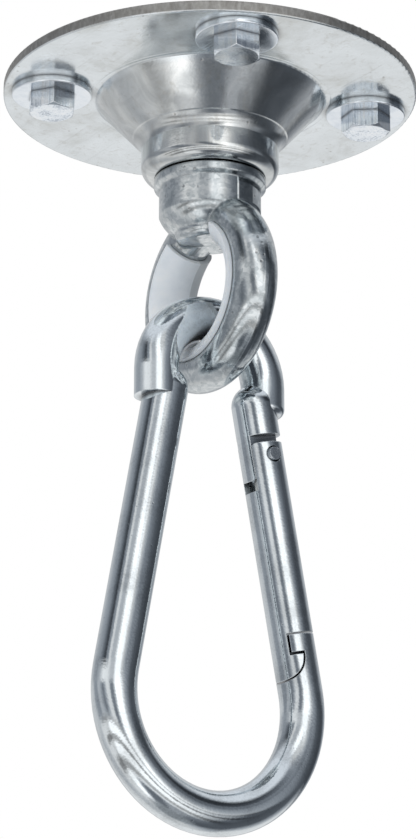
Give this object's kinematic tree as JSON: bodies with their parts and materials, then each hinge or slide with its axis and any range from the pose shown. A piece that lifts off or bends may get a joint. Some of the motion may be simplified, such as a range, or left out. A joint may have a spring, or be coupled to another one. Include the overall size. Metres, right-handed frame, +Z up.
{
  "type": "ceiling hook",
  "caption": "Ceiling hook: a round pressed plate with a bearing cup, a nylon-lined swivel eye and a snap hook with a sprung gate, for hanging a seat, swing or punch bag.",
  "frame": {"origin": "centre of the plate's ceiling face, which is the centre of the bolt circle", "axes": "+Z up into the ceiling along the swivel axis; the snap hook hangs in the XZ plane with its gate on +X; the eye's ring lies in the YZ plane"},
  "size_m": [0.125, 0.125, 0.2318],
  "materials": {
    "plate": "bright zinc-plated sheet",
    "fastener": "bright zinc-plated",
    "bearing": "ground",
    "cage": "pressed",
    "ball": "polished",
    "eye": "galvanised forging",
    "liner": "moulded nylon",
    "hook": "polished bright zinc",
    "rivet": "bright zinc-plated",
    "spring": "spring wire"
  },
  "bodies": {
    "ceiling_plate": {"mounting_plate": "plate", "mounting_bolts": "fastener", "mounting_washers": "fastener", "bearing_lower_race": "bearing"},
    "swivel": {"swivel_eye": "eye", "eye_bush": "liner", "bearing_upper_race": "bearing", "castle_nut": "fastener", "split_pin": "fastener"},
    "ball_train": {"bearing_cage": "cage", "bearing_balls": "ball"},
    "carabiner": {"carabiner_body": "hook", "gate_rivet": "rivet"},
    "gate": {"carabiner_gate": "hook", "gate_spring": "spring"},
    "plunger": {"gate_plunger": "bearing"}
  },
  "joints": [
    {"name": "eye_swivel", "type": "hinge", "parent": "ceiling_plate", "child": "swivel", "pos_m": [0, 0, 0], "axis": [0, 0, 1], "continuous": true},
    {"name": "ball_train_turn", "type": "hinge", "parent": "ceiling_plate", "child": "ball_train", "pos_m": [0, 0, 0], "axis": [0, 0, 1], "continuous": true},
    {"name": "carabiner_swing", "type": "hinge", "parent": "swivel", "child": "carabiner", "pos_m": [0, 0, -0.066], "axis": [1, 0, 0], "range_deg": [-105, 105]},
    {"name": "gate_open", "type": "hinge", "parent": "carabiner", "child": "gate", "pos_m": [0.01841, 0, -0.11367], "axis": [0, 1, 0], "range_deg": [0, 24], "stiffness_Nm_per_rad": 0.8, "springref_deg": -17.19},
    {"name": "plunger_slide", "type": "slide", "parent": "gate", "child": "plunger", "axis": [0.1884, 0, -0.9821], "range_m": [0, 0.0038], "deforming": ["gate_spring"]}
  ],
  "couplings": [
    {"joint": "ball_train_turn", "follows": "eye_swivel", "ratio": 0.5},
    {"joint": "plunger_slide", "follows": "gate_open", "m_per_rad": 0.00885}
  ]
}
